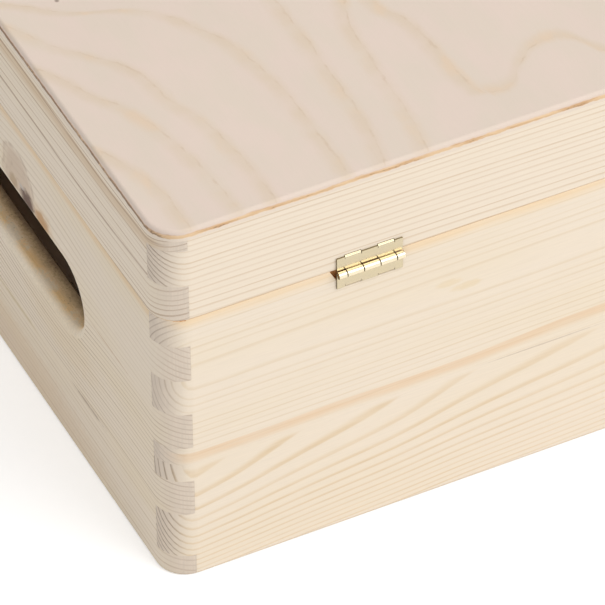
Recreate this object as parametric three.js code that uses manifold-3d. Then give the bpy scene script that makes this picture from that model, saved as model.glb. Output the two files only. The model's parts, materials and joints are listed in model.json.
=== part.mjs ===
// A small lidded box for kindling: finger-jointed pine walls, a plywood lid top and two
// little prong hinges. Millimetres, +Z up. X runs along the long walls, the hinges are on
// the +Y wall, and the origin is on the floor under the middle of the whole outline.
import * as THREE from "three";
import { mergeVertices } from "three/addons/utils/BufferGeometryUtils.js";
import Module from "manifold-3d";

const wasm = await Module();
wasm.setup();

// The box as a whole
const LENGTH = 300; // over the side walls, along X
const WIDTH = 210; // over the long walls, along Y
const BODY_HEIGHT = 104.85; // floor to the rim of the body
const SEAM = 0.15; // between the rim and the closed lid
const RAIL_HEIGHT = 31; // lid frame, without its top
const LID_TOP = 4; // three-ply sheet glued on the lid frame
const WALL = 9; // thickness of every board and rail
const GLUE = 0.1; // glue line between two pieces of wood

// The sanded outside
const CORNER_RADIUS = 10; // upright corners
const FOOT_EASE = 1.2; // bottom edge
const SEAM_EASE = 0.15; // the two edges that meet at the seam
const TOP_EASE = 1.2; // top edge of the lid

// Finger joints, counted down from the rim of the body and from the top of the lid frame
const FINGER = 13.7;
const RIM_FINGER = 10.5; // the first one under the rim
const FOOT_FINGER = 8.4; // the last one, on the floor
const FRAME_FINGER = 4; // the first one under the lid top

// Glue line between the lower and upper board of each wall, above the floor
const BACK_JOINT = 46.5;
const FRONT_JOINT = 60;
const SIDE_JOINT = 28.5;

// Bottom sheet in its stopped groove
const BOTTOM_THICK = 4;
const BOTTOM_LIFT = 6; // groove above the floor
const GROOVE_DEPTH = 4.5;
const GROOVE_PLAY = 0.15; // all round the sheet

// Hand slot in each side wall
const SLOT_LENGTH = 91.5;
const SLOT_HEIGHT = 25;
const SLOT_DROP = 42.1; // middle of the slot below the rim
const SLOT_EASE = 3; // rounded lip, outside
const SLOT_EDGE = 0.6; // the edge inside the box, hardly broken

// Hinges: folded sheet, knuckles shared by the two leaves, two prongs bent into the wood
const HINGE_INSET = 68.25; // middle of a hinge from the end of the box
const HINGE_DROP = 1.35; // pin below the rim
const HINGE_WIDTH = 22;
const HINGE_PLAY = 0.1; // leaf to wood
const SHEET = 0.5;
const BARREL_RADIUS = 1.2;
const BORE_RADIUS = 0.7;
const PIN_RADIUS = 0.55;
const KNUCKLE_SPANS = 4; // three whole knuckles between two half ones
const KNUCKLE_PLAY = 0.3; // between knuckles, and round them in the other leaf
const LEAF_REACH = 5.9; // pin to the free edge of a leaf
const PRONG_REACH = 6.2; // pin to the outside of a prong
const PRONG_WIDTH = 5.4;
const PRONG_SPACING = 11; // middle to middle
const PRONG_LENGTH = 6; // into the wood
const PRONG_BEND = 1.2; // outer radius of the fold
const PRONG_PLAY = 0.15; // prong to its pocket

// Recess in the rim behind each hinge
const RECESS_DROP = 4; // below the rim
const RECESS_DEPTH = 1.6; // into the wall
const RECESS_RUN = 2.1; // how far each end slopes
const RECESS_SHIFT = 2.1; // past the hinge, towards the end of the box

const ARC_STEPS = 4; // half the facets of a quarter round
const KNUCKLE_STEPS = 6; // half the facets of a knuckle
const EASE_STEPS = 2;
const LIP_STEPS = 4;
const OVERCUT = 1; // cutters run this far past a face
const MERGE = 1e-4;

const LID_LOW = BODY_HEIGHT + SEAM;
const FRAME_TOP = LID_LOW + RAIL_HEIGHT;
const TOP = FRAME_TOP + LID_TOP;
const PIN_OUT = HINGE_PLAY + BARREL_RADIUS; // pin to the face of the back wall
const PIN_HEIGHT = BODY_HEIGHT - HINGE_DROP;
const OVERHANG = PIN_OUT + BARREL_RADIUS; // knuckles past the back wall
const SLOT_LIP = Math.min(SLOT_EASE, WALL / 3);
const QUARTER = Math.PI / 2;

const pine = new THREE.MeshStandardMaterial({ color: 0xe9d9be, roughness: 0.75, flatShading: true });
const ply = new THREE.MeshStandardMaterial({ color: 0xe2d1bf, roughness: 0.7, flatShading: true });
const brass = new THREE.MeshStandardMaterial({
  color: 0xd8c48c,
  roughness: 0.3,
  metalness: 1,
  flatShading: true,
});

function toSolid(geometry) {
  geometry.deleteAttribute("normal");
  geometry.deleteAttribute("uv");
  const merged = mergeVertices(geometry, MERGE);
  return new wasm.Manifold(
    new wasm.Mesh({
      numProp: 3,
      vertProperties: merged.attributes.position.array,
      triVerts: new Uint32Array(merged.index.array),
    }),
  );
}

function toMesh(name, solid, material) {
  const { vertProperties, triVerts } = solid.getMesh();
  const geometry = new THREE.BufferGeometry();
  geometry.setAttribute("position", new THREE.BufferAttribute(vertProperties, 3));
  geometry.setIndex(new THREE.BufferAttribute(triVerts, 1));
  geometry.computeVertexNormals();
  const mesh = new THREE.Mesh(geometry, material);
  mesh.name = name;
  return mesh;
}

function cuboid(xLow, xHigh, yLow, yHigh, zLow, zHigh) {
  const geometry = new THREE.BoxGeometry(xHigh - xLow, yHigh - yLow, zHigh - zLow);
  geometry.translate((xLow + xHigh) / 2, (yLow + yHigh) / 2, (zLow + zHigh) / 2);
  return toSolid(geometry);
}

// A shape drawn in X and Z, made solid from one depth along Y to another.
function across(shape, yLow, yHigh) {
  const geometry = new THREE.ExtrudeGeometry(shape, {
    depth: yHigh - yLow,
    bevelEnabled: false,
    curveSegments: 2 * ARC_STEPS,
  });
  geometry.rotateX(QUARTER);
  geometry.translate(0, yHigh, 0);
  return toSolid(geometry);
}

// A shape drawn in Y and Z, made solid from one place along X to another.
function along(shape, xLow, xHigh) {
  const geometry = new THREE.ExtrudeGeometry(shape, {
    depth: xHigh - xLow,
    bevelEnabled: false,
    curveSegments: KNUCKLE_STEPS,
  });
  const xAxis = new THREE.Vector3(1, 0, 0);
  const yAxis = new THREE.Vector3(0, 1, 0);
  const zAxis = new THREE.Vector3(0, 0, 1);
  geometry.applyMatrix4(new THREE.Matrix4().makeBasis(yAxis, zAxis, xAxis));
  geometry.translate(xLow, 0, 0);
  return toSolid(geometry);
}

function polygon(points) {
  return new THREE.Shape(points.map(([x, y]) => new THREE.Vector2(x, y)));
}

// Every wall is made in a frame of its own: X along the wall from its middle, Y out of the
// box from the wall's outer face, Z above the floor. Length is along the wall, depth is the
// box behind it.

function sandedOutline(length, depth) {
  const side = length / 2 - CORNER_RADIUS;
  const near = -CORNER_RADIUS;
  const far = CORNER_RADIUS - depth;
  const outline = new THREE.Shape();
  outline.absarc(side, near, CORNER_RADIUS, 0, QUARTER);
  outline.absarc(-side, near, CORNER_RADIUS, QUARTER, 2 * QUARTER);
  outline.absarc(-side, far, CORNER_RADIUS, 2 * QUARTER, 3 * QUARTER);
  outline.absarc(side, far, CORNER_RADIUS, 3 * QUARTER, 4 * QUARTER);
  return outline;
}

function easedBlock(outline, low, high, ease) {
  const geometry = new THREE.ExtrudeGeometry(outline, {
    depth: high - low - 2 * ease,
    bevelThickness: ease,
    bevelSize: ease,
    bevelOffset: -ease,
    bevelSegments: EASE_STEPS,
    curveSegments: ARC_STEPS,
  });
  geometry.translate(0, 0, low + ease);
  return toSolid(geometry);
}

// The block that the glued-up body or lid is sanded to.
function sandedBlock(length, depth, low, high, easeLow, easeHigh) {
  const outline = sandedOutline(length, depth);
  const lower = easedBlock(outline, low, high + CORNER_RADIUS, easeLow);
  const upper = easedBlock(outline, low - CORNER_RADIUS, high, easeHigh);
  return lower.intersect(upper);
}

function bodyBlock(length, depth) {
  return sandedBlock(length, depth, 0, BODY_HEIGHT, FOOT_EASE, SEAM_EASE);
}

function lidBlock(length, depth) {
  return sandedBlock(length, depth, LID_LOW, TOP, SEAM_EASE, TOP_EASE);
}

// Fingers from the top down, taken in turn by the long walls and the side walls.
function fingersBetween(cuts, firstOwner) {
  const owners = firstOwner === "long" ? ["long", "side"] : ["side", "long"];
  return cuts.slice(1).map((low, i) => ({ high: cuts[i], low, owner: owners[i % 2] }));
}

function bodyFingers() {
  const cuts = [BODY_HEIGHT + OVERCUT];
  for (let z = BODY_HEIGHT - RIM_FINGER; z > FOOT_FINGER + FINGER; z -= FINGER) cuts.push(z);
  cuts.push(FOOT_FINGER, -OVERCUT);
  return fingersBetween(cuts, "long");
}

function lidFingers() {
  const cuts = [FRAME_TOP + OVERCUT];
  for (let z = FRAME_TOP - FRAME_FINGER; z > LID_LOW; z -= FINGER) cuts.push(z);
  cuts.push(LID_LOW - OVERCUT);
  return fingersBetween(cuts, "side");
}

// One board of a wall, with its fingers at both ends.
function board(length, low, high, fingers, owner) {
  const edge = [];
  for (const finger of [...fingers].reverse()) {
    const own = finger.owner === owner;
    const trim = own ? GLUE / 2 : -GLUE / 2;
    const from = Math.max(low, finger.low + trim);
    const to = Math.min(high, finger.high - trim);
    const reach = own ? length / 2 : length / 2 - WALL - GLUE;
    if (to > from) edge.push([reach, from], [reach, to]);
  }
  const farEdge = edge.map(([x, z]) => [-x, z]).reverse();
  return across(polygon([...edge, ...farEdge]), -WALL, 0);
}

// The room that the bottom sheet takes in the walls round it.
function bottomSheet(length, depth, play) {
  const tuck = WALL - GROOVE_DEPTH + GROOVE_PLAY - play;
  const x = length / 2 - tuck;
  const low = BOTTOM_LIFT - play;
  return cuboid(-x, x, tuck - depth, -tuck, low, low + BOTTOM_THICK + 2 * play);
}

function stadium(grow) {
  const r = SLOT_HEIGHT / 2 + grow;
  const run = (SLOT_LENGTH - SLOT_HEIGHT) / 2;
  const shape = new THREE.Shape();
  shape.absarc(run, 0, r, -QUARTER, QUARTER);
  shape.absarc(-run, 0, r, QUARTER, 3 * QUARTER);
  return shape;
}

// A hand slot through the wall and past it, flared to a round lip at the outer face.
function slotWithLip(ease) {
  const geometry = new THREE.ExtrudeGeometry(stadium(0), {
    depth: WALL + OVERCUT - ease,
    bevelThickness: ease,
    bevelSize: -ease,
    bevelOffset: ease,
    bevelSegments: LIP_STEPS,
    curveSegments: 2 * ARC_STEPS,
  });
  geometry.rotateX(QUARTER);
  geometry.translate(0, -ease, 0);
  return toSolid(geometry).add(across(stadium(ease), 0, OVERCUT));
}

// The cutter of a hand slot, with a wide lip outside and a small one inside.
function handSlot() {
  const inside = slotWithLip(SLOT_EDGE).mirror([0, 1, 0]).translate([0, -WALL, 0]);
  return slotWithLip(SLOT_LIP).add(inside).translate([0, 0, BODY_HEIGHT - SLOT_DROP]);
}

const LONG_WALL = { length: LENGTH, depth: WIDTH, owner: "long" };
const SIDE_WALL = { length: WIDTH, depth: LENGTH, owner: "side", joint: SIDE_JOINT };
const WALLS = {
  back: { ...LONG_WALL, joint: BACK_JOINT, x: 0, y: WIDTH / 2, turn: 0 },
  front: { ...LONG_WALL, joint: FRONT_JOINT, x: 0, y: -WIDTH / 2, turn: 2 * QUARTER },
  right: { ...SIDE_WALL, x: LENGTH / 2, y: 0, turn: -QUARTER },
  left: { ...SIDE_WALL, x: -LENGTH / 2, y: 0, turn: QUARTER },
};

function placeWall(name, solid, wall) {
  const mesh = toMesh(name, solid, pine);
  mesh.position.set(wall.x, wall.y, 0);
  mesh.rotation.z = wall.turn;
  return mesh;
}

// Middle of each hinge along the back wall, and which way the near end of the box lies.
const HINGES = {
  left: { x: HINGE_INSET - LENGTH / 2, end: -1 },
  right: { x: LENGTH / 2 - HINGE_INSET, end: 1 },
};

function prongPlaces() {
  return [-PRONG_SPACING / 2, PRONG_SPACING / 2];
}

// Pockets for the prongs of a leaf: up is 1 for the lid leaf and -1 for the box leaf.
function cutProngPockets(solid, up) {
  const half = PRONG_WIDTH / 2 + PRONG_PLAY;
  const far = PIN_HEIGHT + up * (PRONG_REACH + PRONG_PLAY);
  const near = PIN_HEIGHT + up * (PRONG_REACH - PRONG_BEND - PRONG_PLAY);
  const low = Math.min(near, far);
  const high = Math.max(near, far);
  for (const hinge of Object.values(HINGES)) {
    for (const place of prongPlaces()) {
      const x = hinge.x + place;
      const pocket = cuboid(x - half, x + half, -PRONG_LENGTH - PRONG_PLAY, OVERCUT, low, high);
      solid = solid.subtract(pocket);
    }
  }
  return solid;
}

function cutHingeRecesses(solid) {
  for (const hinge of Object.values(HINGES)) {
    const middle = hinge.x + hinge.end * RECESS_SHIFT;
    const rimHalf = HINGE_WIDTH / 2;
    const slope = RECESS_RUN / RECESS_DROP;
    const outline = polygon([
      [middle - rimHalf + RECESS_RUN, BODY_HEIGHT - RECESS_DROP],
      [middle + rimHalf - RECESS_RUN, BODY_HEIGHT - RECESS_DROP],
      [middle + rimHalf + slope * OVERCUT, BODY_HEIGHT + OVERCUT],
      [middle - rimHalf - slope * OVERCUT, BODY_HEIGHT + OVERCUT],
    ]);
    solid = solid.subtract(across(outline, -RECESS_DEPTH, OVERCUT));
  }
  return solid;
}

function bodyBoard(side, part) {
  const wall = WALLS[side];
  const low = part === "lower" ? 0 : wall.joint + GLUE / 2;
  const high = part === "lower" ? wall.joint - GLUE / 2 : BODY_HEIGHT;
  let solid = board(wall.length, low, high, bodyFingers(), wall.owner)
    .intersect(bodyBlock(wall.length, wall.depth))
    .subtract(bottomSheet(wall.length, wall.depth, GROOVE_PLAY));
  if (wall.owner === "side") solid = solid.subtract(handSlot());
  if (side === "back") solid = cutHingeRecesses(cutProngPockets(solid, -1));
  const place = wall.owner === "side" ? "side" : "board";
  return placeWall(`${side}_${place}_${part}`, solid, wall);
}

function lidRail(side) {
  const wall = WALLS[side];
  let solid = board(wall.length, LID_LOW, FRAME_TOP - GLUE / 2, lidFingers(), wall.owner)
    .intersect(lidBlock(wall.length, wall.depth));
  if (side === "back") solid = cutProngPockets(solid, 1);
  return placeWall(`lid_${side}_rail`, solid, wall);
}

function lidPanel() {
  const sheet = cuboid(-LENGTH / 2, LENGTH / 2, -WIDTH, 0, FRAME_TOP + GLUE / 2, TOP);
  const mesh = toMesh("lid_panel", sheet.intersect(lidBlock(LENGTH, WIDTH)), ply);
  mesh.position.y = WIDTH / 2;
  return mesh;
}

function bottomPanel() {
  const mesh = toMesh("bottom_panel", bottomSheet(LENGTH, WIDTH, 0), ply);
  mesh.position.y = WIDTH / 2;
  return mesh;
}

// A hinge is made about its pin: X along the pin, Y out of the box, Z up.

function round(radius, from, to) {
  const circle = new THREE.Shape();
  circle.absarc(0, 0, radius, 0, 4 * QUARTER);
  return along(circle, from, to);
}

// Sheet rolled round the pin, with the neck that joins it to its leaf.
function knuckle(from, to) {
  const neckTop = BARREL_RADIUS + KNUCKLE_PLAY + SHEET;
  const neck = cuboid(from, to, -BARREL_RADIUS, SHEET - BARREL_RADIUS, 0, neckTop);
  const bore = round(BORE_RADIUS, from - OVERCUT, to + OVERCUT);
  return round(BARREL_RADIUS, from, to).add(neck).subtract(bore);
}

// Ends of a knuckle. They are numbered from the left, and the outermost two are half ones.
function knuckleEnds(index) {
  const half = HINGE_WIDTH / 2;
  const whole = HINGE_WIDTH / KNUCKLE_SPANS;
  const middle = index * whole - half;
  const from = middle - (whole - KNUCKLE_PLAY) / 2;
  const to = middle + (whole - KNUCKLE_PLAY) / 2;
  return [Math.max(from, -half), Math.min(to, half)];
}

function prong(middle) {
  const face = SHEET - BARREL_RADIUS;
  const turnY = face - PRONG_BEND;
  const turnZ = PRONG_REACH - PRONG_BEND;
  const tip = -PIN_OUT - PRONG_LENGTH;
  const profile = new THREE.Shape();
  profile.moveTo(-BARREL_RADIUS, turnZ - SHEET);
  profile.lineTo(face, turnZ - SHEET);
  profile.absarc(turnY, turnZ, PRONG_BEND, 0, QUARTER);
  profile.lineTo(tip, PRONG_REACH);
  profile.lineTo(tip, PRONG_REACH - SHEET);
  profile.absarc(turnY, turnZ, PRONG_BEND - SHEET, QUARTER, 0, true);
  return along(profile, middle - PRONG_WIDTH / 2, middle + PRONG_WIDTH / 2);
}

// A leaf that points up. First is the number of its first knuckle, and it has every other one.
function leaf(first) {
  const half = HINGE_WIDTH / 2;
  const clear = BARREL_RADIUS + KNUCKLE_PLAY;
  let solid = cuboid(-half, half, -BARREL_RADIUS, SHEET - BARREL_RADIUS, clear, LEAF_REACH);
  for (let index = first; index <= KNUCKLE_SPANS; index += 2) {
    solid = solid.add(knuckle(...knuckleEnds(index)));
  }
  for (const place of prongPlaces()) solid = solid.add(prong(place));
  return solid;
}

function placeOnPin(name, solid, hinge) {
  const mesh = toMesh(name, solid, brass);
  mesh.position.set(hinge.x, WIDTH / 2 + PIN_OUT, PIN_HEIGHT);
  return mesh;
}

function bodyGroup() {
  const group = new THREE.Group();
  for (const side of Object.keys(WALLS)) {
    group.add(bodyBoard(side, "lower"), bodyBoard(side, "upper"));
  }
  group.add(bottomPanel());
  for (const [side, hinge] of Object.entries(HINGES)) {
    const boxLeaf = leaf(0).mirror([0, 0, 1]);
    group.add(placeOnPin(`hinge_box_leaf_${side}`, boxLeaf, hinge));
    const pin = round(PIN_RADIUS, -HINGE_WIDTH / 2, HINGE_WIDTH / 2);
    group.add(placeOnPin(`hinge_pin_${side}`, pin, hinge));
  }
  return group;
}

function lidGroup() {
  const group = new THREE.Group();
  for (const side of Object.keys(WALLS)) group.add(lidRail(side));
  group.add(lidPanel());
  for (const [side, hinge] of Object.entries(HINGES)) {
    group.add(placeOnPin(`hinge_lid_leaf_${side}`, leaf(1), hinge));
  }
  return group;
}

const kindlingBox = new THREE.Group();
kindlingBox.add(bodyGroup(), lidGroup());
kindlingBox.position.y = -OVERHANG / 2;

export default kindlingBox;
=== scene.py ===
"""Looks of the kindling box: sanded pine boards, a plywood lid and pressed brass hinges."""

import json
import math

import bmesh
import bpy
from mathutils import Matrix, Quaternion, Vector
from mathutils.bvhtree import BVHTree


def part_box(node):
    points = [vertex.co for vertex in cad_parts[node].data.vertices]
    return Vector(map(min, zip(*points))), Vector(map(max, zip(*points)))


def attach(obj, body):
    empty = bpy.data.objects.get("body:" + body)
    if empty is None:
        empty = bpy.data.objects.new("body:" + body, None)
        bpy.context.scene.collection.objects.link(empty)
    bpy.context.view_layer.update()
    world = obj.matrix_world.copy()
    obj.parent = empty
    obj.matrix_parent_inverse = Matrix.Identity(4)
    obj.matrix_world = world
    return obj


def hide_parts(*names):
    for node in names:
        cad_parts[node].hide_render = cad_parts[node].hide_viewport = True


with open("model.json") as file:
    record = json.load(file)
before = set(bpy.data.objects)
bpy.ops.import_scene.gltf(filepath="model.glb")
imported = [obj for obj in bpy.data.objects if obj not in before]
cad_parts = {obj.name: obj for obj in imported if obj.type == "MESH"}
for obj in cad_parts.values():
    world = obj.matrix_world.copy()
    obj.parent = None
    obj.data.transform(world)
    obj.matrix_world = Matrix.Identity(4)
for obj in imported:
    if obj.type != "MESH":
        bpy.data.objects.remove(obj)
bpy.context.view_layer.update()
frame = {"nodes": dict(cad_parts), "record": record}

MM = 0.001
TO_MM = 1000.0
X, Y, Z = range(3)

# Outline of the wooden box, in millimetres
LID_LOW, LID_HIGH = (corner * TO_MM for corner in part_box("lid_panel"))
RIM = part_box("back_board_upper")[1].z * TO_MM

# Where cutters ran in the boards, in millimetres
RECESS_DROP = 4.0
RECESS_DEPTH = 1.6
CUT_SLACK = 0.15
SLOT_OPENING = next(
    opening["box_m"] for opening in frame["record"]["physics"]["openings"]
    if opening["name"] == "right_hand_slot"
)
SLOT_MIDDLE = (Vector(SLOT_OPENING[0]) + Vector(SLOT_OPENING[1])) / 2 * TO_MM
SLOT_HALF_RUN = 50.0
SLOT_HALF_RISE = 16.5

# Camera, in metres and degrees, with its lens and sensor in millimetres. It looks at the rear
# right corner from above.
CAMERA_PLACE = (0.7203, 1.36945, 1.3689)
CAMERA_AZIMUTH = 154.036
CAMERA_ELEVATION = 42.107
CAMERA_ROLL = -0.764
CAMERA_LENS = 380.6
SENSOR = 36.0
NEAREST_SEEN = 0.05
FARTHEST_SEEN = 100.0

# Light, in metres and watts, and the floor that it falls on
KEY_DIRECTION = (-0.50, 0.72, 0.78)
KEY_DISTANCE = 3.0
KEY_SIZE = 2.65
KEY_POWER = 46.5
SKY_LIGHT = 0.65
WHITE = (1.0, 1.0, 1.0, 1.0)
FLOOR_SIZE = 60.0
FLOOR_LIGHTNESS = 0.72
FLOOR_SEEN = 0.95
FLOOR_GLOW = 0.36

# Hinge, as cut and folded from sheet, in millimetres about its pin
HINGE_WIDTH = 22.0
SHEET = 0.5
BARREL = 1.2
KNUCKLE_SPANS = 4
KNUCKLE_GAP = 0.3
LEAF_GAP = 0.1
ROLL = math.radians(300)
ROLL_STEPS = 30
LEAF_REACH = 5.9
PRONG_REACH = 6.2
PRONG_BEND = 1.2
PRONG_WIDTH = 5.4
PRONG_SPACING = 11.0
PRONG_TIP = 7.3
PRONG_TAPER = 0.6
PRONG_SLIT = 0.12
BEND_STEPS = 8
SHEET_ROUNDING = 0.06
PIN_RADIUS = 0.55
PIN_SIDES = 24
PIN_ROUNDING = 0.18
SAME_HEIGHT = 1e-4

# Mesh work, in metres
MERGE = 1e-6
WIDEST_GAP = 0.2 * MM
GAP_SHARE = 0.38
SAME_WAY = 0.99
FLAT_ANGLE = math.radians(0.5)
SHARP_ANGLE = math.radians(50)
ROUNDED_ANGLE = math.radians(60)


def middle_of(node):
    """The middle of a CAD node's box, in metres."""
    low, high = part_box(node)
    return (low + high) / 2


def display(red, green, blue):
    """A colour as it shows on screen, 0 to 255, as the linear values that a shader takes."""
    def linear(level):
        share = level / 255
        return share / 12.92 if share <= 0.04045 else ((share + 0.055) / 1.055) ** 2.4

    return (linear(red), linear(green), linear(blue), 1.0)


# ---------------------------------------------------------------- shader graphs


class Field:
    """A number that varies over a surface. Arithmetic on it adds Math nodes."""

    def __init__(self, graph, socket):
        self.graph = graph
        self.socket = socket

    def math(self, operation, *others):
        node = self.graph.node("ShaderNodeMath", operation=operation)
        for slot, value in zip(node.inputs, (self, *others)):
            self.graph.feed(slot, value)
        return Field(self.graph, node.outputs[0])

    def __add__(self, other):
        return self.math("ADD", other)

    def __sub__(self, other):
        return self.math("SUBTRACT", other)

    def __mul__(self, other):
        return self.math("MULTIPLY", other)

    def __truediv__(self, other):
        return self.math("DIVIDE", other)

    def __pow__(self, other):
        return self.math("POWER", other)

    def __neg__(self):
        return self * -1.0

    def size(self):
        return self.math("ABSOLUTE")

    def whole(self):
        return self.math("FLOOR")

    def part(self):
        return self.math("FRACT")

    def highest(self, other):
        return self.math("MAXIMUM", other)

    def rise(self, low, high, start=0.0, end=1.0):
        """Smoothly from start, where the value is low, to end, where it is high."""
        node = self.graph.node("ShaderNodeMapRange", interpolation_type="SMOOTHSTEP")
        for slot, value in zip(node.inputs, (self, low, high, start, end)):
            self.graph.feed(slot, value)
        return Field(self.graph, node.outputs[0])

    def bell(self, middle, below, above):
        """One at the middle, down to zero at the widths below and above it."""
        rising = self.rise(middle - below, middle)
        return rising * self.rise(middle, middle + above, 1.0, 0.0)

    def curve(self, points):
        """A smooth curve through points of (value, result)."""
        xs = [x for x, _ in points]
        ys = [y for _, y in points]
        low, span = min(ys), max(max(ys) - min(ys), 1e-6)
        node = self.graph.node("ShaderNodeFloatCurve")
        knots = node.mapping.curves[0].points
        shares = [((x - xs[0]) / (xs[-1] - xs[0]), (y - low) / span) for x, y in points]
        knots[0].location = shares[0]
        knots[1].location = shares[-1]
        for share in shares[1:-1]:
            knots.new(*share)
        node.mapping.update()
        self.graph.feed(node.inputs["Value"], (self - xs[0]) / (xs[-1] - xs[0]))
        return Field(self.graph, node.outputs[0]) * span + low


class Graph:
    """The shader nodes of one material."""

    def __init__(self, name):
        self.material = bpy.data.materials.new(name)
        self.material.use_nodes = True
        self.tree = self.material.node_tree
        self.tree.nodes.clear()

    def node(self, kind, **settings):
        made = self.tree.nodes.new(kind)
        for name, value in settings.items():
            setattr(made, name, value)
        return made

    def feed(self, slot, value):
        if isinstance(value, Field):
            value = value.socket
        if isinstance(value, bpy.types.NodeSocket):
            self.tree.links.new(value, slot)
        else:
            slot.default_value = value

    def split(self, socket):
        node = self.node("ShaderNodeSeparateXYZ")
        self.feed(node.inputs[0], socket)
        return [Field(self, output) for output in node.outputs]

    def vector(self, x, y, z):
        node = self.node("ShaderNodeCombineXYZ")
        for slot, value in zip(node.inputs, (x, y, z)):
            self.feed(slot, value)
        return node.outputs[0]

    def coordinates(self):
        """Place in millimetres, and the direction that the surface faces."""
        source = self.node("ShaderNodeTexCoord")
        scale = self.node("ShaderNodeVectorMath", operation="SCALE")
        self.feed(scale.inputs[0], source.outputs["Object"])
        scale.inputs["Scale"].default_value = TO_MM
        return self.split(scale.outputs[0]), self.split(source.outputs["Normal"])

    def noise(self, x, y, z, seed=0.0, detail=2.0, roughness=0.5):
        """Clouds between 0 and 1, most of them near a half."""
        node = self.node("ShaderNodeTexNoise", noise_dimensions="4D")
        self.feed(node.inputs["Vector"], self.vector(x, y, z))
        self.feed(node.inputs["W"], seed)
        node.inputs["Scale"].default_value = 1.0
        node.inputs["Detail"].default_value = detail
        node.inputs["Roughness"].default_value = roughness
        return Field(self, node.outputs["Fac"])

    def chance(self, value):
        """A random number from 0 to 1 for each whole number."""
        node = self.node("ShaderNodeTexWhiteNoise", noise_dimensions="1D")
        self.feed(node.inputs["W"], value)
        return Field(self, node.outputs["Value"])

    def cells(self, x, y, z):
        """Distance from scattered points that lie about 1 apart."""
        node = self.node("ShaderNodeTexVoronoi", feature="F1")
        self.feed(node.inputs["Vector"], self.vector(x, y, z))
        node.inputs["Scale"].default_value = 1.0
        return Field(self, node.outputs["Distance"])

    def mix(self, share, first, second):
        """The first colour, with that share of the second one laid over it."""
        node = self.node("ShaderNodeMix", data_type="RGBA")
        self.feed(node.inputs[0], share)
        self.feed(node.inputs[6], first)
        self.feed(node.inputs[7], second)
        return node.outputs[2]

    def brighten(self, colour, factor):
        """The colour times a number."""
        node = self.node("ShaderNodeVectorMath", operation="SCALE")
        self.feed(node.inputs[0], colour)
        self.feed(node.inputs["Scale"], factor)
        return node.outputs[0]

    def finish(self, colour, roughness, height=None, depth=0.05, metal=0.0, gloss=0.35):
        """A surface of that colour. The height bumps it by up to the depth, in millimetres."""
        surface = self.node("ShaderNodeBsdfPrincipled")
        self.feed(surface.inputs["Base Color"], colour)
        self.feed(surface.inputs["Roughness"], roughness)
        surface.inputs["Metallic"].default_value = metal
        surface.inputs["Specular IOR Level"].default_value = gloss
        if height is not None:
            bump = self.node("ShaderNodeBump")
            self.feed(bump.inputs["Height"], height)
            bump.inputs["Distance"].default_value = depth * MM
            self.feed(surface.inputs["Normal"], bump.outputs[0])
        output = self.node("ShaderNodeOutputMaterial")
        self.feed(output.inputs["Surface"], surface.outputs[0])
        return self.material


# ---------------------------------------------------------------- pine

EARLY_WOOD = display(246, 231, 211)
WARM_WOOD = display(244, 227, 198)
LATE_WOOD = display(226, 198, 164)
SEAM_GLOW = display(250, 220, 178)
RESIN_BAND = display(238, 203, 163)
END_EARLY = display(235, 219, 201)
END_LATE = display(190, 164, 140)
END_DARK = display(144, 120, 96)
KNOT_PALE = display(214, 191, 168)
KNOT_RIM = display(176, 146, 120)
BARK = display(92, 61, 45)
GLUE_STAIN = display(150, 120, 92)
KNOT_BROWN = display(196, 150, 98)

# Where late wood is in full and where it ends, as shares of a ring's width
LATE_FULL = 0.86
LATE_END = 0.9
END_LATE_FROM = 0.62

# Where each wall starts: the axis along it and the axis into it, each from the outer corner
WALLS = {
    "back": ((X, LID_HIGH.x, -1), (Y, LID_HIGH.y, -1)),
    "front": ((X, LID_LOW.x, 1), (Y, LID_LOW.y, 1)),
    "right": ((Y, LID_HIGH.y, -1), (X, LID_HIGH.x, -1)),
    "left": ((Y, LID_HIGH.y, -1), (X, LID_LOW.x, 1)),
}


class Board:
    """The material of a board, with places in millimetres along its wall, up it and into it.

    end_on is 1 where a surface cuts straight across the fibres, and 0 where it runs with them.
    """

    def __init__(self, name, wall, seed):
        self.graph = Graph(name)
        self.seed = seed
        place, facing = self.graph.coordinates()
        (run_axis, run_start, run_sign), (deep_axis, deep_start, deep_sign) = WALLS[wall]
        self.along = (place[run_axis] - run_start) * float(run_sign)
        self.deep = (place[deep_axis] - deep_start) * float(deep_sign)
        self.up = place[Z]
        self.end_on = facing[run_axis].size()

    def clouds(self, per_mm_along, per_mm_across, shift=0.0, **settings):
        """Noise that is drawn out along the fibres."""
        return self.graph.noise(
            self.along * per_mm_along, self.up * per_mm_across, self.deep * per_mm_across,
            self.seed + shift, **settings,
        )

    def off(self, middle_along, middle_up, half_run, half_rise):
        """How far a place is from the middle of an oval, along and up, in its half sizes."""
        return (self.along - middle_along) / half_run, (self.up - middle_up) / half_rise

    def spotted(self, colour, spots, rough):
        """Lays ragged spots on a colour, each as its middle, half sizes, amount and colour."""
        for *oval, amount, spot_colour in spots:
            off_run, off_rise = self.off(*oval)
            off_spot = off_run * off_run + off_rise * off_rise + rough
            colour = self.graph.mix(off_spot.rise(0.1, 1.0, amount, 0.0), colour, spot_colour)
        return colour


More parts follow.
